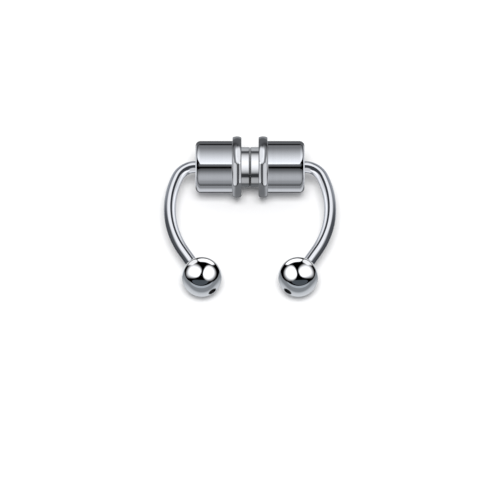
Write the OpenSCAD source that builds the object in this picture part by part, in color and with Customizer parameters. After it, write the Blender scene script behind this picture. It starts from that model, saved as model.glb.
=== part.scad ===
// Magnetic nose ring: two mirrored halves that meet at their magnets.
// It lies on its side, on its two flanges and its two balls.
// +X runs along the magnets' axis, the arms open towards -Y, +Z is up.

/* [Wire arms] */
// Diameter of the bent wire
wire_d = 1.2; // [1.1:0.1:1.5]
// Radius of the tight bend beside the sleeve, to the wire's centre line
bend_r = 2.0; // [1.6:0.1:2.6]
// Angle of the tight bend
bend_sweep = 66; // [58:1:72]
// Radius of the long bow, to the wire's centre line
bow_r = 8.8; // [8.2:0.1:9.6]
// Angle of the long bow
bow_sweep = 57; // [50:1:60]
// Straight run from the end of the bow to the ball's centre
end_run = 3.4; // [2.8:0.1:4.4]
// Length of wire held in the sleeve's socket
socket_len = 1.5; // [1.0:0.1:1.8]

/* [Sleeves] */
// Diameter of the barrel
barrel_d = 5.25; // [5.0:0.05:5.8]
// Length of the barrel, without its flange
barrel_len = 3.75; // [3.4:0.05:4.5]
// Rounding of the barrel's outer edge
barrel_round = 0.5; // [0.2:0.05:0.8]
// Diameter of the flange, over its crowned rim
flange_d = 6.2; // [6.0:0.1:7.0]
// Thickness of the flange
flange_t = 0.9; // [0.7:0.05:1.2]
// Radius of the rim's crown, seen in section
crown_r = 1.0; // [0.8:0.1:2.0]
// Rounding of the rim's two edges
rim_round = 0.12; // [0.04:0.02:0.2]

/* [Magnets] */
// Diameter of the disc magnet
magnet_d = 4.0; // [3.4:0.1:4.4]
// Length of magnet that shows past the flange
magnet_show = 0.86; // [0.5:0.02:1.5]
// Length of magnet held in the sleeve's pocket
magnet_seat = 1.6; // [1.0:0.1:2.0]
// Chamfer around the face where the magnets meet
magnet_chamfer = 0.08; // [0.02:0.02:0.2]

/* [Balls] */
// Diameter of the ball
ball_d = 4.0; // [3.0:0.1:5.0]
// Diameter of the small hole that shows on the ball's far side
hole_d = 0.74; // [0.5:0.02:0.84]
// Diameter of the arm's tip, a plain pin in place of its thread
tip_d = 0.9; // [0.86:0.02:0.96]
// Length of the tip inside the ball
tip_len = 2.3; // [1.6:0.1:2.4]

/* [Fits] */
// Radial gap around the wire in its socket
socket_gap = 0.02; // [0.01:0.01:0.05]
// Radial gap around the magnet in its pocket
magnet_gap = 0.03; // [0.02:0.01:0.08]
// Radial gap around the tip in the ball's bore
tip_gap = 0.03; // [0.02:0.01:0.08]
// Gap between two faces that meet end to end
face_gap = 0.02; // [0.01:0.01:0.05]

/* [Hidden] */
$fn = 96;
eps = 0.01;
// Each stretch of wire starts this far inside the one before it, and is this much thinner
wire_lap = 0.02;
wire_step = 0.002;

wire_r = wire_d / 2;
flange_r = flange_d / 2;
ball_r = ball_d / 2;
magnet_r = magnet_d / 2;
tip_r = tip_d / 2;

// Places along the magnets' axis, measured from the seam
magnet_face = face_gap / 2;
flange_face = magnet_face + magnet_show;
magnet_back = flange_face + magnet_seat;
barrel_start = flange_face + flange_t;
sleeve_end = barrel_start + barrel_len;

// Crown of the flange's rim: where its two edge roundings touch it
crown_centre = flange_r - crown_r;
edge_offset = flange_t / 2 - rim_round;
edge_centre = crown_centre + sqrt(pow(crown_r - rim_round, 2) - pow(edge_offset, 2));
crown_half = edge_offset * crown_r / (crown_r - rim_round);

// The arm's centre line in the ring's own plane, from the sleeve to the ball
bend_centre = [sleeve_end, -bend_r];
bend_end_angle = 90 - bend_sweep;
bow_centre = bend_centre + (bend_r - bow_r) * [cos(bend_end_angle), sin(bend_end_angle)];
bow_end_angle = bend_end_angle - bow_sweep;
bow_end = bow_centre + bow_r * [cos(bow_end_angle), sin(bow_end_angle)];
end_heading = bow_end_angle - 90;
ball_centre = bow_end + end_run * [cos(end_heading), sin(end_heading)];

// The ball's spot face, just wide enough for the wire's shoulder to seat on
spot_r = wire_r + 0.05;
spot_face = sqrt(ball_r * ball_r - spot_r * spot_r);
shoulder = spot_face + face_gap;

// How the ring lies: turned about the magnets' axis until the balls touch down
lie_angle = asin((flange_r - ball_r) / -ball_centre[1]);
front_reach = -ball_centre[1] * cos(lie_angle) + ball_r;
to_middle = (front_reach - flange_r) / 2;

// Puts the right half, drawn in the ring's plane, where it lies
module lay_right() {
    translate([0, to_middle, flange_r])
        rotate([lie_angle, 0, 0])
            children();
}

module lay_left() {
    mirror([1, 0, 0])
        lay_right()
            children();
}

// A solid drawn along +Z, turned to run along +X from the given place
module along_x(start) {
    translate([start, 0, 0])
        rotate([0, 90, 0])
            children();
}

// A solid drawn along +Z, turned to run from the ball's centre back to the arm
module along_tip() {
    translate([ball_centre[0], ball_centre[1], 0])
        rotate([0, 0, end_heading])
            rotate([0, -90, 0])
                children();
}

// Half section of the barrel, its outer edge rounded
module barrel_section() {
    barrel_r = barrel_d / 2;
    translate([0, barrel_start - flange_face - eps])
        square([barrel_r, barrel_len - barrel_round + eps]);
    translate([0, barrel_start - flange_face])
        square([barrel_r - barrel_round, barrel_len]);
    translate([barrel_r - barrel_round, sleeve_end - flange_face - barrel_round])
        circle(r = barrel_round);
}

// Half section of the flange: flat sides, crowned rim, small roundings
module flange_section() {
    translate([0, flange_t / 2]) {
        translate([0, -flange_t / 2])
            square([edge_centre, flange_t]);
        for (side = [-1, 1])
            translate([edge_centre, side * edge_offset])
                circle(r = rim_round);
        intersection() {
            translate([crown_centre, 0])
                circle(r = crown_r);
            translate([0, -crown_half])
                square([flange_r, 2 * crown_half]);
        }
    }
}

module sleeve() {
    along_x(flange_face)
        difference() {
            rotate_extrude() {
                flange_section();
                barrel_section();
            }
            translate([0, 0, -eps])
                cylinder(r = magnet_r + magnet_gap, h = magnet_seat + face_gap + eps);
            translate([0, 0, sleeve_end - flange_face - socket_len - face_gap])
                cylinder(r = wire_r + socket_gap, h = socket_len + face_gap + eps);
        }
}

module magnet() {
    along_x(magnet_face) {
        cylinder(r1 = magnet_r - magnet_chamfer, r2 = magnet_r, h = magnet_chamfer);
        translate([0, 0, magnet_chamfer])
            cylinder(r = magnet_r, h = magnet_back - magnet_face - magnet_chamfer);
    }
}

// A bent stretch of wire, which ends at end_angle and laps into the stretch before it
module wire_arc(centre, radius, end_angle, sweep, thickness) {
    translate([centre[0], centre[1], 0])
        rotate([0, 0, end_angle])
            rotate_extrude(angle = sweep + wire_lap / radius * 180 / PI)
                translate([radius, 0])
                    circle(r = thickness);
}

module arm() {
    tip_chamfer = 0.12;
    along_x(sleeve_end - socket_len)
        cylinder(r = wire_r, h = socket_len);
    wire_arc(bend_centre, bend_r, bend_end_angle, bend_sweep, wire_r - wire_step);
    wire_arc(bow_centre, bow_r, bow_end_angle, bow_sweep, wire_r - 2 * wire_step);
    along_tip() {
        translate([0, 0, shoulder])
            cylinder(r = wire_r - 3 * wire_step, h = end_run - shoulder + wire_lap);
        translate([0, 0, shoulder - tip_len + tip_chamfer])
            cylinder(r = tip_r, h = tip_len - tip_chamfer + wire_lap);
        translate([0, 0, shoulder - tip_len])
            cylinder(r1 = tip_r - tip_chamfer, r2 = tip_r, h = tip_chamfer);
    }
}

module ball() {
    bore_bottom = shoulder - tip_len - face_gap;
    along_tip()
        difference() {
            sphere(r = ball_r);
            translate([0, 0, spot_face])
                cylinder(r = ball_r, h = ball_r);
            translate([0, 0, bore_bottom])
                cylinder(r = tip_r + tip_gap, h = ball_r - bore_bottom);
            translate([0, 0, -ball_r - eps])
                cylinder(d = hole_d, h = ball_r + bore_bottom + 2 * eps);
        }
}

module left_sleeve() {
    color("silver")
        lay_left()
            sleeve();
}

module left_magnet() {
    color("gainsboro")
        lay_left()
            magnet();
}

module left_arm() {
    color("lightsteelblue")
        lay_left()
            arm();
}

module left_ball() {
    color("darkgray")
        lay_left()
            ball();
}

module right_sleeve() {
    color("silver")
        lay_right()
            sleeve();
}

module right_magnet() {
    color("gainsboro")
        lay_right()
            magnet();
}

module right_arm() {
    color("lightsteelblue")
        lay_right()
            arm();
}

module right_ball() {
    color("darkgray")
        lay_right()
            ball();
}

left_sleeve();
left_magnet();
left_arm();
left_ball();
right_sleeve();
right_magnet();
right_arm();
right_ball();
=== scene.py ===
import math

import bpy
from mathutils import Matrix, Vector


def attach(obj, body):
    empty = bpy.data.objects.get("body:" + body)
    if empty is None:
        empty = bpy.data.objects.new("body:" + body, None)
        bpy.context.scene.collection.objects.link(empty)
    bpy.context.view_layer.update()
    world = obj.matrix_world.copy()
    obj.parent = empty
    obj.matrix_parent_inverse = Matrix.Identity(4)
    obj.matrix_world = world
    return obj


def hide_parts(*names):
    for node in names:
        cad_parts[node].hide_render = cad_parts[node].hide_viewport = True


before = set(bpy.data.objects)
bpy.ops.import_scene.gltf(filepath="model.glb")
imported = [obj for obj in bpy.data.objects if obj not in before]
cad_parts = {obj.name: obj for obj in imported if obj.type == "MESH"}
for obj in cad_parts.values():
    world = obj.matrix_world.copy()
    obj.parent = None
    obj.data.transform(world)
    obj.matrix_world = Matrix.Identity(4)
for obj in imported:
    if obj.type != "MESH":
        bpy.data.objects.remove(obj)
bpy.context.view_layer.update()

# A magnetic nose ring in polished steel: two mirrored halves that lie on their side and
# meet at their magnets. Each half is a turned sleeve with a flange, a disc magnet in its
# pocket, a bent wire arm and a screw-on ball. Measures are in metres, taken from the
# right half, which is drawn in the ring's own plane and then laid where it rests.

MM = 0.001

# Wire arm
WIRE_R = 0.6 * MM
BEND_R = 2.0 * MM
BEND_SWEEP = math.radians(66)
BOW_R = 8.8 * MM
BOW_SWEEP = math.radians(57)
END_RUN = 3.4 * MM
SOCKET_LEN = 1.5 * MM

# Sleeve
FLANGE_FACE = 0.87 * MM
BARREL_START = 1.77 * MM
SLEEVE_END = 5.52 * MM
BARREL_R = 2.625 * MM
BARREL_ROUND = 0.5 * MM
FLANGE_R = 3.1 * MM
CROWN_R = 1.0 * MM
RIM_ROUND = 0.12 * MM
POCKET_R = 2.03 * MM
POCKET_FLOOR = 2.49 * MM
SOCKET_R = 0.62 * MM
SOCKET_FLOOR = 4.0 * MM
# The flange and the barrel are drawn apart, so that each can be lit by itself; they meet here
SPLIT = 1.70 * MM

# Magnet
MAGNET_FACE = 0.01 * MM
MAGNET_BACK = 2.47 * MM
MAGNET_R = 2.0 * MM
MAGNET_EDGE = 0.12 * MM

# Ball and threaded tip
BALL_R = 2.0 * MM
SPOT_R = 0.65 * MM
SHOULDER = 1.9114 * MM
TIP_R = 0.45 * MM
TIP_LEN = 2.3 * MM
BORE_R = 0.48 * MM
HOLE_R = 0.37 * MM
THREAD_PITCH = 0.25 * MM
THREAD_DEPTH = 0.075 * MM
THREAD_RINGS = 88

# The arm's centre line, as the source draws it
BEND_CENTRE = Vector((SLEEVE_END, -BEND_R, 0))
BEND_END = math.pi / 2 - BEND_SWEEP
BOW_CENTRE = BEND_CENTRE + (BEND_R - BOW_R) * Vector((math.cos(BEND_END), math.sin(BEND_END), 0))
BOW_END = BEND_END - BOW_SWEEP
RUN_START = BOW_CENTRE + BOW_R * Vector((math.cos(BOW_END), math.sin(BOW_END), 0))
RUN_WAY = Vector((math.sin(BOW_END), -math.cos(BOW_END), 0))
BALL_CENTRE = RUN_START + END_RUN * RUN_WAY

# How the ring lies: on its two flanges and its two balls
LIE = math.asin((FLANGE_R - BALL_R) / -BALL_CENTRE.y)
TO_MIDDLE = (-BALL_CENTRE.y * math.cos(LIE) + BALL_R - FLANGE_R) / 2
LAY_RIGHT = Matrix.Translation((0, TO_MIDDLE, FLANGE_R)) @ Matrix.Rotation(LIE, 4, "X")
LAY_LEFT = Matrix.Scale(-1, 4, (1, 0, 0)) @ LAY_RIGHT


# ---- drawing outlines and turning them ----

def arc(centre, radius, start, end, steps):
    """Points of an arc in the outline's plane: x along the axis, y away from it."""
    turns = [math.radians(start + (end - start) * i / steps) for i in range(steps + 1)]
    return [(centre[0] + radius * math.cos(t), centre[1] + radius * math.sin(t)) for t in turns]


def start_point(name, where):
    """A single point in edit mode, to draw an outline from."""
    bpy.ops.object.select_all(action="DESELECT")
    bpy.ops.mesh.primitive_plane_add(size=MM, location=where)
    piece = bpy.context.object
    piece.name = piece.data.name = name
    bpy.ops.object.mode_set(mode="EDIT")
    bpy.ops.mesh.select_mode(type="VERT")
    bpy.ops.mesh.select_all(action="SELECT")
    bpy.ops.mesh.merge(type="CENTER")
    return piece


def draw(points):
    """Draws the outline on from the selected point, a stretch at a time."""
    for a, b in zip(points, points[1:]):
        step = (b[0] - a[0], b[1] - a[1], 0)
        bpy.ops.mesh.extrude_region_move(TRANSFORM_OT_translate={"value": step})


def close_up():
    """Merges the doubles of a turned or bent piece and points its faces outwards."""
    bpy.ops.mesh.select_all(action="SELECT")
    bpy.ops.mesh.remove_doubles(threshold=1e-6)
    bpy.ops.mesh.normals_make_consistent(inside=False)
    bpy.ops.object.mode_set(mode="OBJECT")


def turned(name, outline, steps):
    """A piece turned on the lathe: its half outline is drawn, then spun about the X axis."""
    piece = start_point(name, (outline[0][0], outline[0][1], 0))
    draw(outline)
    bpy.ops.mesh.select_all(action="SELECT")
    bpy.ops.mesh.spin(steps=steps, angle=2 * math.pi, center=(0, 0, 0), axis=(1, 0, 0))
    close_up()
    bpy.ops.object.transform_apply(location=True, rotation=True, scale=True)
    return piece


def settle(piece, matrix, sharp=35):
    """Lays a finished piece in its place, with its origin at 0, and smooths it."""
    bpy.ops.object.select_all(action="DESELECT")
    piece.select_set(True)
    bpy.context.view_layer.objects.active = piece
    piece.matrix_world = matrix
    bpy.ops.object.transform_apply(location=True, rotation=True, scale=True)
    bpy.ops.object.mode_set(mode="EDIT")
    bpy.ops.mesh.select_all(action="SELECT")
    bpy.ops.mesh.normals_make_consistent(inside=False)
    bpy.ops.object.mode_set(mode="OBJECT")
    bpy.ops.object.shade_smooth_by_angle(angle=math.radians(sharp))
    return piece


def copy_of(piece, name):
    """A second piece of the same shape, with a mesh of its own."""
    bpy.ops.object.select_all(action="DESELECT")
    piece.select_set(True)
    bpy.context.view_layer.objects.active = piece
    bpy.ops.object.duplicate(linked=False)
    other = bpy.context.object
    other.name = other.data.name = name
    return other


# ---- the pieces ----

def flange_outline():
    """A closed outline: the mouth of the pocket, the front face, the crowned rim, the back."""
    fine = 0.03 * MM
    middle = (FLANGE_FACE + BARREL_START) / 2
    half = (BARREL_START - FLANGE_FACE) / 2
    crown = FLANGE_R - CROWN_R
    off = half - RIM_ROUND
    edge = crown + math.sqrt((CROWN_R - RIM_ROUND) ** 2 - off**2)
    lean = math.degrees(math.asin(off / (CROWN_R - RIM_ROUND)))
    points = [(SPLIT, POCKET_R), (FLANGE_FACE + 3 * fine, POCKET_R)]
    points += arc((FLANGE_FACE + 2 * fine, POCKET_R + 2 * fine), 2 * fine, 270, 180, 6)
    points += [(FLANGE_FACE, POCKET_R + 3 * fine), (FLANGE_FACE, edge - fine)]
    points += arc((middle - off, edge), RIM_ROUND, 180, 90 + lean, 10)
    points += arc((middle, crown), CROWN_R, 90 + lean, 90 - lean, 28)[1:-1]
    points += arc((middle + off, edge), RIM_ROUND, 90 - lean, 0, 10)
    points += [(BARREL_START, edge - fine), (BARREL_START, BARREL_R + 3 * fine)]
    points += arc((BARREL_START + 2 * fine, BARREL_R + 2 * fine), 2 * fine, 180, 270, 6)
    points += [(BARREL_START + 2 * fine, BARREL_R - 3 * fine), (SPLIT, BARREL_R - 3 * fine)]
    points += [points[0]]
    return points


def barrel_outline():
    """From the middle of the pocket's floor, over the barrel, to the middle of the socket's."""
    fine = 0.03 * MM
    points = [(POCKET_FLOOR, 0), (POCKET_FLOOR, POCKET_R), (SPLIT, POCKET_R), (SPLIT, BARREL_R)]
    round_start = SLEEVE_END - BARREL_ROUND
    points += [(BARREL_START + 3 * fine, BARREL_R), (round_start - fine, BARREL_R)]
    points += arc((round_start, BARREL_R - BARREL_ROUND), BARREL_ROUND, 90, 0, 24)
    points += [(SLEEVE_END, BARREL_R - BARREL_ROUND - fine), (SLEEVE_END, SOCKET_R + 3 * fine)]
    points += arc((SLEEVE_END - 2 * fine, SOCKET_R + 2 * fine), 2 * fine, 0, -90, 6)
    points += [(SLEEVE_END - 3 * fine, SOCKET_R), (SOCKET_FLOOR, SOCKET_R), (SOCKET_FLOOR, 0)]
    return points


def magnet_outline():
    """From the middle of the face that shows, over the rim, to the middle of the back."""
    fine = 0.02 * MM
    points = [(MAGNET_FACE, 0), (MAGNET_FACE, MAGNET_R - MAGNET_EDGE - fine)]
    points += arc((MAGNET_FACE + MAGNET_EDGE, MAGNET_R - MAGNET_EDGE), MAGNET_EDGE, 180, 90, 8)
    points += [(MAGNET_FACE + MAGNET_EDGE + fine, MAGNET_R)]
    points += [(MAGNET_BACK - MAGNET_EDGE - fine, MAGNET_R)]
    points += arc((MAGNET_BACK - MAGNET_EDGE, MAGNET_R - MAGNET_EDGE), MAGNET_EDGE, 90, 0, 8)
    points += [(MAGNET_BACK, MAGNET_R - MAGNET_EDGE - fine), (MAGNET_BACK, 0)]
    return points


def ball_outline():
    """A closed outline, drawn with the ball's centre at 0 and the arm's side towards +X."""
    fine = 0.02 * MM
    spot = math.sqrt(BALL_R**2 - SPOT_R**2)
    spot_turn = math.degrees(math.asin(SPOT_R / BALL_R))
    hole_turn = math.degrees(math.asin((HOLE_R + 2 * fine) / BALL_R))
    bottom = SHOULDER - TIP_LEN - fine
    points = [(spot, BORE_R + 3 * fine), (spot, SPOT_R - fine)]
    points += arc((0, 0), BALL_R, spot_turn + 0.6, 180 - hole_turn - 0.6, 96)
    points += [(-BALL_R + fine, HOLE_R + fine), (-BALL_R + 4 * fine, HOLE_R)]
    points += [(bottom, HOLE_R), (bottom, BORE_R)]
    turns = int((spot - bottom - 8 * fine) / THREAD_PITCH)
    for i in range(turns):
        root = bottom + 3 * fine + (i + 0.5) * THREAD_PITCH
        points += [(root - 0.4 * THREAD_PITCH, BORE_R)]
        points += [(root - 0.05 * THREAD_PITCH, BORE_R + THREAD_DEPTH)]
        points += [(root + 0.05 * THREAD_PITCH, BORE_R + THREAD_DEPTH)]
        points += [(root + 0.4 * THREAD_PITCH, BORE_R)]
    points += [(spot - 3 * fine, BORE_R), (spot, BORE_R + 3 * fine)]
    return points


def bent_arm(name, hand):
    """The arm: a disc drawn out along the wire, bent twice, then necked down to its thread."""
    bpy.ops.object.select_all(action="DESELECT")
    bpy.ops.mesh.primitive_circle_add(
        vertices=96, radius=WIRE_R, fill_type="NGON",
        location=(SLEEVE_END - SOCKET_LEN, 0, 0), rotation=(0, math.pi / 2, 0),
    )
    piece = bpy.context.object
    piece.name = piece.data.name = name
    bpy.ops.object.mode_set(mode="EDIT")
    bpy.ops.mesh.select_mode(type="FACE")
    bpy.ops.mesh.select_all(action="SELECT")
    bpy.ops.mesh.extrude_region_move(TRANSFORM_OT_translate={"value": (SOCKET_LEN, 0, 0)})
    for centre, sweep, steps in ((BEND_CENTRE, BEND_SWEEP, 44), (BOW_CENTRE, BOW_SWEEP, 60)):
        bpy.ops.mesh.spin(steps=steps, angle=sweep, center=centre, axis=(0, 0, 1))
    edge = 0.03 * MM
    start = END_RUN - SHOULDER
    neck = TIP_R - THREAD_DEPTH
    rings = [(start - 2 * edge, WIRE_R), (start - edge, WIRE_R)]
    rings += [(start - 0.3 * edge, WIRE_R - 0.3 * edge), (start, WIRE_R - edge)]
    rings += [(start, neck), (start + 0.12 * MM, neck), (start + 0.18 * MM, TIP_R)]
    tip_end = start + TIP_LEN
    first = start + 0.2 * MM
    last = tip_end - 0.12 * MM
    rings += [(first + (last - first) * i / THREAD_RINGS, TIP_R) for i in range(THREAD_RINGS + 1)]
    rings += [(tip_end - 0.01 * MM, TIP_R - 0.11 * MM), (tip_end, TIP_R - 0.13 * MM)]
    along, radius = 0.0, WIRE_R
    for there, width in rings:
        move = (there - along) * RUN_WAY
        bpy.ops.mesh.extrude_region_move(TRANSFORM_OT_translate={"value": move})
        if width != radius:
            middle = RUN_START + there * RUN_WAY
            bpy.ops.transform.resize(value=(width / radius,) * 3, center_override=middle)
        along, radius = there, width
    close_up()
    bpy.ops.object.transform_apply(location=True, rotation=True, scale=True)
    cut_thread(piece, first, last, hand)
    return piece


def cut_thread(piece, first, last, hand):
    """Cuts a one-start thread into the tip: a groove that winds round it once per pitch."""
    side = Vector((0, 0, 1)).cross(RUN_WAY)
    for v in piece.data.vertices:
        p = v.co - RUN_START
        along = p.dot(RUN_WAY)
        out = p - along * RUN_WAY
        if not first - 1e-7 <= along <= last + 1e-7 or out.length > TIP_R + 1e-6:
            continue
        turn = math.atan2(out.z, out.dot(side)) / (2 * math.pi)
        winding = (along / THREAD_PITCH + hand * turn) % 1.0
        groove = max(0.0, 1 - abs(winding - 0.5) / 0.38)
        run_out = min(1.0, (along - first) / (0.1 * MM), (last - along) / (0.1 * MM))
        depth = THREAD_DEPTH * groove * run_out
        v.co = RUN_START + along * RUN_WAY + out.normalized() * (TIP_R - depth)


# ---- marks that the finishes read ----

def mark(piece, name, value_at):
    """Writes a number at each point of the piece, for its material to read."""
    layer = piece.data.attributes.new(name, "FLOAT", "POINT")
    layer.data.foreach_set("value", [value_at(v.co) for v in piece.data.vertices])


def in_sleeve(p):
    """1 inside the magnet's pocket and the wire's socket, 0 outside: where the sleeve gets
    painted shade.
    """
    out = math.hypot(p.y, p.z)
    pocket = FLANGE_FACE + 0.07 * MM < p.x < POCKET_FLOOR + 1e-6 and out < POCKET_R + 0.01 * MM
    socket = SOCKET_FLOOR - 1e-6 < p.x < SLEEVE_END - 0.07 * MM and out < SOCKET_R + 0.01 * MM
    return float(pocket or socket)


def in_ball(p):
    """1 inside the threaded bore and the small hole, and on a thin ring round the hole's mouth, 0
    elsewhere: where the ball gets painted shade, which also darkens that ring round the hole.
    """
    out = math.hypot(p.y, p.z)
    bottom = SHOULDER - TIP_LEN - 0.02 * MM
    hole = p.x <= bottom and out < HOLE_R + 0.07 * MM
    bore = bottom - 1e-6 < p.x < 1.88 * MM and out < BORE_R + THREAD_DEPTH + 0.01 * MM
    return float(hole or bore)


def along_wire(p):
    """Where a point of the arm is: along the wire, and across it in the ring's plane."""
    if p.x <= SLEEVE_END + 1e-7 and p.y > -1.0 * MM:
        return p.x - SLEEVE_END + SOCKET_LEN, p.y
    done = SOCKET_LEN
    for centre, radius, start, sweep in (
        (BEND_CENTRE, BEND_R, math.pi / 2, BEND_SWEEP),
        (BOW_CENTRE, BOW_R, BEND_END, BOW_SWEEP),
    ):
        q = p - centre
        turn = start - math.atan2(q.y, q.x)
        if turn <= sweep + 1e-6:
            return done + radius * turn, math.hypot(q.x, q.y) - radius
        done += radius * sweep
    q = p - RUN_START
    return done + q.dot(RUN_WAY), q.dot(Vector((0, 0, 1)).cross(RUN_WAY))


def mark_wire(piece):
    """The drawn lines' own coordinates, in millimetres: two across the wire, one along it."""
    layer = piece.data.attributes.new("wire_place", "FLOAT_VECTOR", "POINT")
    places = []
    for v in piece.data.vertices:
        along, across = along_wire(v.co)
        places += [across / MM, v.co.z / MM, along / MM]
    layer.data.foreach_set("vector", places)
    tip_start = SOCKET_LEN + BEND_R * BEND_SWEEP + BOW_R * BOW_SWEEP + END_RUN - SHOULDER
    mark(piece, "thread", lambda p: float(along_wire(p)[0] > tip_start + 0.01 * MM))


# The ball is turned about X with its bore, then stood on the tip's own line
TOWARDS_ARM = (-RUN_WAY).to_track_quat("X", "Z").to_matrix().to_4x4()
BALL_STAND = Matrix.Translation(BALL_CENTRE) @ TOWARDS_ARM

flange = turned("right_turned_flange", flange_outline(), 256)
barrel = turned("right_turned_barrel", barrel_outline(), 256)
magnet = turned("right_disc_magnet", magnet_outline(), 192)
ball = turned("right_screw_ball", ball_outline(), 192)
arm = bent_arm("right_bent_arm", 1)
other_arm = bent_arm("left_bent_arm", -1)
# The holes of the sleeve and the ball are marked for painted shade
mark(flange, "darkened", in_sleeve)
mark(barrel, "darkened", in_sleeve)
mark(ball, "darkened", in_ball)
mark_wire(arm)
mark_wire(other_arm)

pieces = {}
for source, node, stand in (
    (flange, "flange", Matrix.Identity(4)),
    (barrel, "barrel", Matrix.Identity(4)),
    (magnet, "magnet", Matrix.Identity(4)),
    (ball, "ball", BALL_STAND),
):
    twin = copy_of(source, source.name.replace("right", "left"))
    pieces["right_" + node] = settle(source, LAY_RIGHT @ stand)
    pieces["left_" + node] = settle(twin, LAY_LEFT @ stand)
pieces["right_arm"] = settle(arm, LAY_RIGHT)
pieces["left_arm"] = settle(other_arm, LAY_LEFT)

# Each piece: the body it rides on, and the node it stands for
BODIES = {
    "left_flange": "left_half", "left_barrel": "left_half", "left_magnet": "left_half",
    "left_arm": "left_half", "left_ball": "left_end", "right_magnet": "right_magnet",
    "right_flange": "right_half", "right_barrel": "right_half", "right_arm": "right_half",
    "right_ball": "right_end",
}
NODES = {"flange": "sleeve", "barrel": "sleeve", "magnet": "magnet", "arm": "arm", "ball": "ball"}
for name, piece in pieces.items():
    hand, part = name.split("_")
    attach(piece, BODIES[name])
    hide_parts(f"{hand}_{NODES[part]}")

# ---- shared effects ----

# Millimetres in a metre, because Object coordinates are in metres
PER_METRE = 1000.0
# How far a scratch reaches to either side of the noise's middle value
HAIR_WIDTH = 0.012


def new_group(name, inputs, outputs):
    """An empty shader node group with named sockets: (name, kind, value) and (name, kind)."""
    group = bpy.data.node_groups.new(name, "ShaderNodeTree")
    sockets = group.interface
    for label, kind, value in inputs:
        socket = sockets.new_socket(label, in_out="INPUT", socket_type="NodeSocket" + kind)
        if value is not None:
            socket.default_value = value
    for label, kind in outputs:
        sockets.new_socket(label, in_out="OUTPUT", socket_type="NodeSocket" + kind)
    return group


def fill(tree, node, values):
    """Links each input to the socket given for it, or sets it to the plain value given."""
    for key, value in values.items():
        if isinstance(value, bpy.types.NodeSocket):
            tree.links.new(value, node.inputs[key])
        else:
            node.inputs[key].default_value = value


def place(tree, kind, values=None, **settings):
    """Adds a node, sets it up and fills its inputs."""
    node = tree.nodes.new(kind if kind.startswith("NodeGroup") else "ShaderNode" + kind)
    for key, value in settings.items():
        setattr(node, key, value)
    fill(tree, node, values or {})
    return node


def effect(tree, group, values):
    """Adds a shared effect with its own values, and gives its outputs."""
    node = tree.nodes.new("ShaderNodeGroup")
    node.node_tree = group
    fill(tree, node, values)
    return node.outputs


def sum_of(tree, operation, a, b=None, c=None, clamp=False):
    """One step of arithmetic."""
    values = {i: v for i, v in enumerate((a, b, c)) if v is not None}
    return place(tree, "Math", values, operation=operation, use_clamp=clamp).outputs[0]


def turned_lines():
    """Fine lines left by the lathe: rings round the X axis, also on faces square to it."""
    group = new_group(
        "turned_lines",
        [("Place", "Vector", None), ("Lines per mm", "Float", 30.0), ("Waver", "Float", 0.15)],
        [("Height", "Float"), ("Shade", "Float")],
    )
    source = place(group, "NodeGroupInput").outputs
    here = source["Place"]
    flat = place(group, "VectorMath", {0: here, 1: (0, 1, 1)}, operation="MULTIPLY").outputs[0]
    out = place(group, "VectorMath", {0: flat}, operation="LENGTH").outputs["Value"]
    along = place(group, "SeparateXYZ", {0: here}).outputs[0]
    drift = place(group, "TexNoise", {"Vector": here, "Scale": 900.0, "Detail": 1.0}).outputs[0]
    drift = sum_of(group, "MULTIPLY", drift, source["Waver"])
    reach = sum_of(group, "MULTIPLY_ADD", sum_of(group, "ADD", along, out), PER_METRE, drift)
    step = sum_of(group, "MULTIPLY", reach, source["Lines per mm"])
    fine, broad = (
        place(group, "TexNoise", {"W": step, **spread}, noise_dimensions="1D").outputs[0]
        for spread in ({"Scale": 1.0, "Detail": 3.0}, {"Scale": 0.11, "Detail": 2.0})
    )
    height = sum_of(group, "MULTIPLY_ADD", broad, 0.5, fine)
    sink = place(group, "NodeGroupOutput")
    group.links.new(height, sink.inputs["Height"])
    group.links.new(sum_of(group, "SUBTRACT", height, 0.75), sink.inputs["Shade"])
    return group


def drawn_lines():
    """Long fine lines that a drawing die leaves along a wire."""
    group = new_group(
        "drawn_lines",
        [("Place", "Vector", None), ("Lines per mm", "Float", 20.0),
         ("Length in mm", "Float", 6.0)],
        [("Height", "Float"), ("Shade", "Float")],
    )
    source = place(group, "NodeGroupInput").outputs
    across = source["Lines per mm"]
    along = sum_of(group, "DIVIDE", 1.0, source["Length in mm"])
    size = place(group, "CombineXYZ", {0: across, 1: across, 2: along}).outputs[0]
    spot = place(group, "VectorMath", {0: source["Place"], 1: size}, operation="MULTIPLY")
    lines = place(
        group, "TexNoise", {"Vector": spot.outputs[0], "Scale": 1.0, "Detail": 3.0}
    ).outputs[0]
    sink = place(group, "NodeGroupOutput")
    group.links.new(lines, sink.inputs["Height"])
    group.links.new(sum_of(group, "SUBTRACT", lines, 0.5), sink.inputs["Shade"])
    return group


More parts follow.
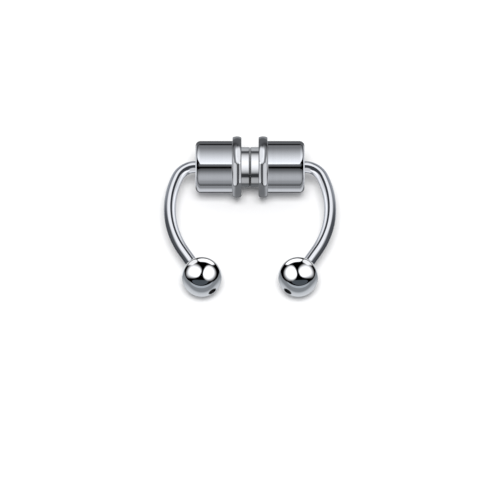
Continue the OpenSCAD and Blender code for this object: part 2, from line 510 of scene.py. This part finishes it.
def hair_scratches():
    """Sparse hairline scratches of a worn polish, in two directions."""
    group = new_group(
        "hair_scratches",
        [("Place", "Vector", None), ("Size", "Float", 1.0), ("Amount", "Float", 0.3)],
        [("Scratches", "Float")],
    )
    source = place(group, "NodeGroupInput").outputs
    spot = place(
        group, "VectorMath", {0: source["Place"], "Scale": source["Size"]}, operation="SCALE"
    ).outputs[0]
    hairs = []
    for turn, stretch in (
        ((0.4, 0.9, 0.3), (4200, 260, 2600)),
        ((1.1, -0.5, 0.8), (300, 3900, 2200)),
    ):
        laid = place(group, "Mapping", {0: spot, "Rotation": turn, "Scale": stretch}).outputs[0]
        field = place(group, "TexNoise", {"Vector": laid, "Scale": 1.0, "Detail": 2.0}).outputs[0]
        ridge = sum_of(group, "ABSOLUTE", sum_of(group, "SUBTRACT", field, 0.5))
        hairs.append(place(
            group, "MapRange", {0: ridge, 1: 0.0, 2: HAIR_WIDTH, 3: 1.0, 4: 0.0},
            interpolation_type="SMOOTHSTEP",
        ).outputs[0])
    both = sum_of(group, "MAXIMUM", *hairs)
    # The hairs show only in patches of the surface
    patch = place(group, "TexNoise", {"Vector": spot, "Scale": 700.0, "Detail": 2.0}).outputs[0]
    low = sum_of(group, "SUBTRACT", 0.85, source["Amount"])
    high = sum_of(group, "ADD", low, 0.12)
    some = place(group, "MapRange", {0: patch, 1: low, 2: high}).outputs[0]
    sink = place(group, "NodeGroupOutput")
    group.links.new(sum_of(group, "MULTIPLY", both, some), sink.inputs["Scratches"])
    return group


def handling_haze():
    """Faint cloudy film left by fingers and polishing cloth."""
    group = new_group(
        "handling_haze",
        [("Place", "Vector", None), ("Patches per mm", "Float", 0.6)],
        [("Haze", "Float")],
    )
    source = place(group, "NodeGroupInput").outputs
    scale = sum_of(group, "MULTIPLY", source["Patches per mm"], PER_METRE)
    cloud = place(
        group, "TexNoise",
        {"Vector": source["Place"], "Scale": scale, "Detail": 4.0, "Distortion": 0.6},
    ).outputs[0]
    haze = place(
        group, "MapRange", {0: cloud, 1: 0.35, 2: 0.75}, interpolation_type="SMOOTHSTEP"
    ).outputs[0]
    sink = place(group, "NodeGroupOutput")
    group.links.new(haze, sink.inputs["Haze"])
    return group


TURNED = turned_lines()
DRAWN = drawn_lines()
SCRATCHES = hair_scratches()
HAZE = handling_haze()


# ---- finishes ----

# How much the lines, the scratches and the haze change the metal's shade and roughness
LINE_SHADE = 0.10
SCRATCH_SHADE = -0.05
LINE_ROUGH = 0.02
SCRATCH_ROUGH = 0.06
HAZE_ROUGH = 0.02
# How rough the metal is inside its holes
HOLE_ROUGH = 0.45
# How deep the lines and the scratches are
SCRATCH_DEPTH = -0.6
RELIEF = 0.04
RELIEF_HEIGHT = 0.002 * MM


def blank(name):
    """A new material, its node tree and its shader."""
    material = bpy.data.materials.new(name)
    material.use_nodes = True
    tree = material.node_tree
    return material, tree, tree.nodes["Principled BSDF"]


def polished(name, colour, roughness, lines, darkened=None, dark=None):
    """Mirror-polished metal: lines under the polish, hairlines and haze. Where the given mark is
    1, it's dark and dull: painted shade in the holes of the sleeve and the ball, and a darker
    threaded tip on the arm. Lines are drawn ones, or so many turned ones per mm."""
    material, tree, shader = blank(name)
    shader.inputs["Metallic"].default_value = 1.0
    here = place(tree, "TexCoord").outputs["Object"]
    if lines == "drawn":
        there = place(tree, "Attribute", attribute_name="wire_place").outputs["Vector"]
        worked = effect(tree, DRAWN, {"Place": there})
    else:
        axis = place(tree, "Mapping", {0: here, "Location": (0, -TO_MIDDLE, -FLANGE_R)})
        worked = effect(tree, TURNED, {"Place": axis.outputs[0], "Lines per mm": lines})
    scratches = effect(tree, SCRATCHES, {"Place": here, "Size": 1.0, "Amount": 0.3})["Scratches"]
    haze = effect(tree, HAZE, {"Place": here, "Patches per mm": 0.5})["Haze"]
    shade = sum_of(tree, "MULTIPLY_ADD", worked["Shade"], LINE_SHADE, 1.0)
    shade = sum_of(tree, "MULTIPLY_ADD", scratches, SCRATCH_SHADE, shade)
    base = place(tree, "VectorMath", {0: colour, "Scale": shade}, operation="SCALE").outputs[0]
    rough = sum_of(tree, "MULTIPLY_ADD", haze, HAZE_ROUGH, roughness)
    rough = sum_of(tree, "MULTIPLY_ADD", worked["Shade"], LINE_ROUGH, rough)
    rough = sum_of(tree, "MULTIPLY_ADD", scratches, SCRATCH_ROUGH, rough)
    # Painted shade: the marked holes turn dark and dull; on the arm, the threaded tip turns
    # darker
    if darkened:
        inside = place(tree, "Attribute", attribute_name=darkened).outputs["Fac"]
        base = place(tree, "Mix", {0: inside, 6: base, 7: dark}, data_type="RGBA").outputs[2]
        rough = place(tree, "Mix", {0: inside, 2: rough, 3: HOLE_ROUGH}).outputs[0]
    tree.links.new(base, shader.inputs["Base Color"])
    tree.links.new(rough, shader.inputs["Roughness"])
    height = sum_of(tree, "MULTIPLY_ADD", scratches, SCRATCH_DEPTH, worked["Height"])
    bump = place(tree, "Bump", {"Strength": RELIEF, "Distance": RELIEF_HEIGHT, "Height": height})
    tree.links.new(bump.outputs[0], shader.inputs["Normal"])
    return material


STEEL = (0.60, 0.605, 0.62)
NICKEL = (0.608, 0.611, 0.616)
# The dark colours are painted shade in the holes of the sleeve and the ball, and the darker
# threaded tip of the arm
FINISHES = {
    "sleeve": polished(
        "polished_sleeve_steel", STEEL, roughness=0.03, lines=26.0,
        darkened="darkened", dark=(0.03, 0.03, 0.033, 1),
    ),
    "magnet": polished("bright_nickel_plating", NICKEL, roughness=0.04, lines=18.0),
    "arm": polished(
        "drawn_wire_steel", STEEL, roughness=0.04, lines="drawn",
        darkened="thread", dark=(0.22, 0.22, 0.23, 1),
    ),
    "ball": polished(
        "polished_ball_steel", STEEL, roughness=0.025, lines=22.0,
        darkened="darkened", dark=(0.012, 0.012, 0.013, 1),
    ),
}
for name, piece in pieces.items():
    piece.data.materials.append(FINISHES[NODES[name.split("_")[1]]])

# ---- studio ----

# The panels hang this far from the middle of the ring
LAMP_REACH = 0.5
CENTRE = Vector((0, 0, 2.5)) * MM
# The tint of each part's panels, where they are dim and where they are bright
TINTS = {
    "flange": ((0.90, 0.94, 1.0), (0.955, 0.97, 1.0)),
    "barrel": ((0.90, 0.94, 1.0), (0.93, 0.955, 1.0)),
    "magnet": ((0.86, 0.92, 1.0), (0.95, 0.965, 1.0)),
    "arm": ((0.79, 0.87, 1.0), (0.955, 0.965, 1.0)),
    "ball": ((0.67, 0.84, 1.0), (0.985, 0.99, 1.0)),
}
# From this level on, a panel has its bright tint
FULL_LEVEL = 0.6


def softbox_cloth():
    """How strongly a softbox's cloth glows: it fades to its edges, and can be graded across."""
    group = new_group(
        "softbox_cloth",
        [("Place", "Vector", None), ("Corner", "Float", 3.0), ("Fade Way", "Vector", None),
         ("Near Fade", "Float", 0.1), ("Far Fade", "Float", 0.5), ("Grade Start", "Float", 0.0),
         ("Grade End", "Float", 1.0), ("Grade Rest", "Float", 1.0)],
        [("Glow", "Float")],
    )
    source = place(group, "NodeGroupInput").outputs
    part = place(group, "SeparateXYZ", {0: source["Place"]}).outputs
    # 0 in the middle of the cloth and 1 at its rim, which has rounded corners
    powers = [
        sum_of(group, "POWER", sum_of(group, "ABSOLUTE", part[i]), source["Corner"])
        for i in (0, 1)
    ]
    root = sum_of(group, "DIVIDE", 1.0, source["Corner"])
    rim = sum_of(group, "POWER", sum_of(group, "ADD", *powers), root)
    # 0 at the cloth's near side and 1 at its far side
    lean = place(
        group, "VectorMath", {0: source["Place"], 1: source["Fade Way"]}, operation="DOT_PRODUCT"
    ).outputs["Value"]
    side = sum_of(group, "MULTIPLY_ADD", lean, 0.5, 0.5, clamp=True)
    fade = place(
        group, "MapRange", {0: side, 3: source["Near Fade"], 4: source["Far Fade"]}
    ).outputs[0]
    glow = place(
        group, "MapRange", {0: sum_of(group, "SUBTRACT", 1.0, rim), 2: fade},
        interpolation_type="SMOOTHSTEP",
    ).outputs[0]
    grade = place(
        group, "MapRange",
        {0: side, 1: source["Grade Start"], 2: source["Grade End"], 3: 1.0,
         4: source["Grade Rest"]},
        interpolation_type="SMOOTHSTEP",
    ).outputs[0]
    sink = place(group, "NodeGroupOutput")
    group.links.new(sum_of(group, "MULTIPLY", glow, grade), sink.inputs["Glow"])
    return group


CLOTH = softbox_cloth()


def group_of(name, members):
    """A collection of pieces that a set of lamps shines on."""
    held = bpy.data.collections.new(name)
    for piece in members:
        held.objects.link(piece)
    return held


def softbox(name, receivers, row, tints, mirrored=False):
    """A soft panel that faces the ring and shines on its receivers only. Its row: how far
    aside it hangs and how far round, its roll, how wide and tall it looks (half angles), how
    square it is, how much of its near and its far side fades, which way the far side is, and
    how bright it is; then, if it's graded, where the grade starts and ends on the way to the
    far side, and what is left of it there."""
    aside, about, roll, wide, tall, corner, near, far, turn, level, *grade = row
    grade_start, grade_end, grade_rest = grade or (0.0, 1.0, 1.0)
    if mirrored:
        aside, roll, turn = -aside, -roll, 180 - turn
    a, e, r, t = (math.radians(v) for v in (aside, about, roll, turn))
    facing = Vector((math.sin(a), -math.cos(a) * math.cos(e), math.cos(a) * math.sin(e)))
    across = Vector((math.cos(a), math.sin(a) * math.cos(e), -math.sin(a) * math.sin(e)))
    up = Vector((0, math.sin(e), math.cos(e)))
    u = math.cos(r) * across + math.sin(r) * up
    v = math.cos(r) * up - math.sin(r) * across
    half = [LAMP_REACH * math.tan(math.radians(s)) for s in (wide, tall)]
    light = bpy.data.lights.new(name, "AREA")
    light.shape = "RECTANGLE"
    light.size, light.size_y = 2 * half[0], 2 * half[1]
    light.energy = math.pi * light.size * light.size_y
    light.use_nodes = True
    tree = light.node_tree
    shine = tree.nodes["Emission"]
    here = place(tree, "TexCoord").outputs["Object"]
    to_rim = (1 / half[0], 1 / half[1], 0)
    spot = place(tree, "VectorMath", {0: here, 1: to_rim}, operation="MULTIPLY").outputs[0]
    glow = effect(tree, CLOTH, {
        "Place": spot, "Corner": corner, "Fade Way": (math.cos(t), math.sin(t), 0),
        "Near Fade": near, "Far Fade": far, "Grade Start": grade_start, "Grade End": grade_end,
        "Grade Rest": grade_rest,
    })["Glow"]
    dim, bright = (Vector(tint) for tint in tints)
    tint = dim.lerp(bright, min(level / FULL_LEVEL, 1.0))
    cast = place(tree, "VectorMath", {0: tint, "Scale": glow}, operation="SCALE").outputs[0]
    tree.links.new(cast, shine.inputs["Color"])
    shine.inputs["Strength"].default_value = level
    lamp = bpy.data.objects.new(name, light)
    bpy.context.scene.collection.objects.link(lamp)
    stand = Matrix((u, v, facing)).transposed().to_4x4()
    stand.translation = CENTRE + facing * LAMP_REACH
    lamp.matrix_world = stand
    lamp.light_linking.receiver_collection = receivers


# The panels of each part's left one. The right one's are their mirror image.
RIG_ROWS = {
    "flange": [
        (11.04, 108.46, 10.2, 33.75, 39.7, 4.24, 0.15, 0.82, 120, 1.34),
        (-23.6, 26.81, 0.11, 22.74, 45.39, 6, 0.1, 0.18, 120.7, 1.03),
        (42.23, 30, -6.56, 16.18, 38.5, 4.54, 0.04, 0.21, -10.65, 0.96),
        (-21.07, 115.25, -6.3, 23.31, 43.34, 6, 0.1, 0.82, 129.01, 0.31),
        (-71.17, 111.55, 20.16, 32.23, 47.38, 6, 0.3, 0.82, 152.31, 0.84),
        (10.69, 41.88, -0.01, 13.52, 52.33, 4.73, 0.05, 0.18, -46.24, 0.16),
        (11.24, -62.22, 18.9, 79.98, 52.29, 6, 0.14, 0.82, 210.15, 0.26),
        (-43.55, -62, 6.66, 37.62, 54, 6, 0.4, 0.88, 120, 0.33),
        (12, 188.22, -25, 80, 48.33, 6, 0.34, 1.3, 150, 0.17),
        (11.68, 224.51, 17.55, 52.5, 29.63, 6, 0.5, 0.69, 30, 0.22),
    ],
    "barrel": [
        (0, 121, -32, 65, 48.3, 3.2, 0.09, 0.25, 90, 1.57, 0.12, 0.76, 0.19),
        (0, 67, 0, 50, 11, 3, 1, 0.2, 90, 0.22),
        (0, 9, 8, 78, 42, 3, 0.03, 0.05, 90, 0.16),
        (0, 10, 8, 70, 38, 2.4, 0.9, 1, 90, 0.55),
        (6, -68, 0, 68, 34, 5, 0.05, 0.5, 270, 0.4),
        (8, -74, 0, 60, 26, 3, 0.8, 0.8, 270, 0.55),
        (0, -20, 0, 76, 10, 3, 0.4, 1, 90, 0.14),
        (0, 205, 0, 74, 26, 5, 0.15, 0.5, 90, 0.17),
        (-50, 235, 0, 34, 20, 4, 0.3, 0.3, 180, 1.1),
        (-40, -98, 0, 40, 20, 4, 0.2, 0.3, 180, 0.22),
    ],
    "magnet": [
        (0, 81, 0, 13, 69, 6, 1.2, 1.1, 90, 1.9),
        (0, 180, 0, 13, 22, 6, 0.6, 0.6, 90, 0.6),
        (0, 175, 0, 13, 38, 6, 0.3, 0.3, 90, 0.12),
        (0, -32, 0, 13, 31, 6, 0.6, 0.6, 90, 0.68),
        (0, -80, 0, 13, 25, 6, 0.3, 0.3, 90, 0.18),
        (0, 10, 0, 13, 25, 6, 0.3, 0.3, 90, 0.06),
        (-46, 85, 0, 28, 72, 4, 0.3, 0.3, 180, 0.38),
        (46, 85, 0, 28, 72, 4, 0.3, 0.3, 0, 0.38),
        (0, 215, 0, 70, 25, 4, 0.3, 0.3, 0, 0.3),
        (0, -120, 0, 70, 35, 4, 0.3, 0.3, 0, 0.1),
    ],
    "arm": [
        (-25, 112, 20, 33, 31, 2.8, 0.15, 1.2, 180, 1.45),
        (-36, 82, 0, 34, 19, 2.2, 0.6, 1.2, 180, 1),
        (72, 93, 12, 26, 62, 3, 0.2, 0.55, 0, 1.05),
        (58, 172, 0, 24, 26, 3, 0.3, 0.5, 0, 0.5),
        (20, -10, 0, 30, 58, 3, 0.2, 0.8, 0, 0.98),
        (72, -40, 0, 34, 60, 3, 0.6, 0.6, 0, 0.66),
        (78, -125, 0, 16, 40, 3, 0.35, 0.5, 0, 0.4),
        (-32, 162, 0, 38, 30, 4, 0.5, 0.5, 90, 0.26),
        (-80, 108, 0, 42, 79, 4, 0.3, 0.3, 180, 0.13),
        (28, 85, 0, 40, 58, 4, 0.3, 0.3, 90, 0.09),
        (20, -100, 0, 68, 70, 4, 0.2, 0.2, 90, 0.32),
        (0, 206, 0, 60, 34, 4, 0.2, 0.2, 90, 0.34),
        (0, 148, 0, 13, 24, 3, 0.5, 0.5, 0, 0.6),
    ],
    "ball": [
        (-48.5, 111, -46, 53, 42, 2.6, 0.1, 1.2, 165, 1.85),
        (50, 89, -25, 41, 51, 2.2, 0.09, 1.05, 28, 1.9),
        (14, 176, 11, 28, 20, 4, 0.1, 0.2, 0, 1.8),
        (-30, 180, -4, 16, 25, 3, 0.15, 0.6, 180, 1.45),
        (-9, 24, 3, 48, 16.5, 2, 0.12, 0.2, 90, 0.14),
        (0, -67, 2, 79, 71.5, 5, 0.02, 0.03, 270, 0.4),
        (0, -4, 3, 66, 9, 4, 0.3, 0.6, 270, 0.3),
        (0, -82, 0, 66, 46, 3, 0.6, 0.9, 270, 0.55),
        (0, 224, 0, 40, 18, 4, 0.2, 0.3, 90, 0.6),
    ],
}
for part, rows in RIG_ROWS.items():
    for hand in ("left", "right"):
        receivers = group_of(f"{hand}_{part}_lit", [pieces[f"{hand}_{part}"]])
        for i, row in enumerate(rows):
            name = f"{hand}_{part}_softbox_{i + 1}"
            softbox(name, receivers, row, TINTS[part], mirrored=hand == "right")

# Each part mirrors its own panels only: other parts would show in it as kinked marks
for piece in pieces.values():
    piece.visible_glossy = False

FLOOR_SIZE = 3.0
FLOOR_DROP = 0.01 * MM
FLOOR_LAMP_SIZE = 0.22
FLOOR_LAMP_POWER = math.pi * 0.77
FLOOR_LAMP_PLACE = Vector((0, -0.15, 0.485))
# How bright the studio's air is on the floor, and how bright its backdrop looks
AIR_LEVEL = 0.6
BACKDROP_LEVEL = 1.05

bpy.ops.object.select_all(action="DESELECT")
bpy.ops.mesh.primitive_plane_add(size=FLOOR_SIZE, location=(0, 0, -FLOOR_DROP))
floor = bpy.context.object
floor.name = floor.data.name = "floor"
floor.visible_glossy = False
floor.visible_shadow = False
card, tree, shader = blank("pale_card")
shader.inputs["Base Color"].default_value = (0.85, 0.85, 0.855, 1)
shader.inputs["Roughness"].default_value = 0.9
shader.inputs["Specular IOR Level"].default_value = 0.0
floor.data.materials.append(card)
floor_lit = group_of("floor_lit", [floor])

sky = bpy.data.lights.new("floor_softbox", "AREA")
sky.shape = "RECTANGLE"
sky.size = sky.size_y = FLOOR_LAMP_SIZE
sky.energy = FLOOR_LAMP_POWER
above = bpy.data.objects.new("floor_softbox", sky)
bpy.context.scene.collection.objects.link(above)
above.location = FLOOR_LAMP_PLACE
above.rotation_euler = (math.atan2(FLOOR_LAMP_PLACE.y, FLOOR_LAMP_PLACE.z), 0, 0)
above.light_linking.receiver_collection = floor_lit

world = bpy.data.worlds.new("studio")
bpy.context.scene.world = world
world.use_nodes = True
tree = world.node_tree
path = place(tree, "LightPath").outputs
level = place(tree, "Mix", {0: path["Is Glossy Ray"], 2: AIR_LEVEL, 3: 0.0}).outputs[0]
level = place(tree, "Mix", {0: path["Is Camera Ray"], 2: level, 3: BACKDROP_LEVEL}).outputs[0]
tree.links.new(level, tree.nodes["Background"].inputs["Strength"])
tree.nodes["Background"].inputs["Color"].default_value = (1, 1, 1, 1)
bpy.context.scene.view_settings.view_transform = "Standard"

# ---- camera ----

EYE_LEVEL = math.radians(58.6)
EYE_DISTANCE = 0.5
LOOKS_AT = Vector((0, -1.57, -1.30)) * MM
LENS = 354.6

away = Vector((0, -math.cos(EYE_LEVEL), math.sin(EYE_LEVEL)))
camera = bpy.data.objects.new("camera", bpy.data.cameras.new("camera"))
bpy.context.scene.collection.objects.link(camera)
camera.data.sensor_width = 36.0
camera.data.lens = LENS
camera.data.clip_start = 0.01
camera.location = LOOKS_AT + away * EYE_DISTANCE
camera.rotation_mode = "QUATERNION"
camera.rotation_quaternion = (-away).to_track_quat("-Z", "Y")
bpy.context.scene.camera = camera
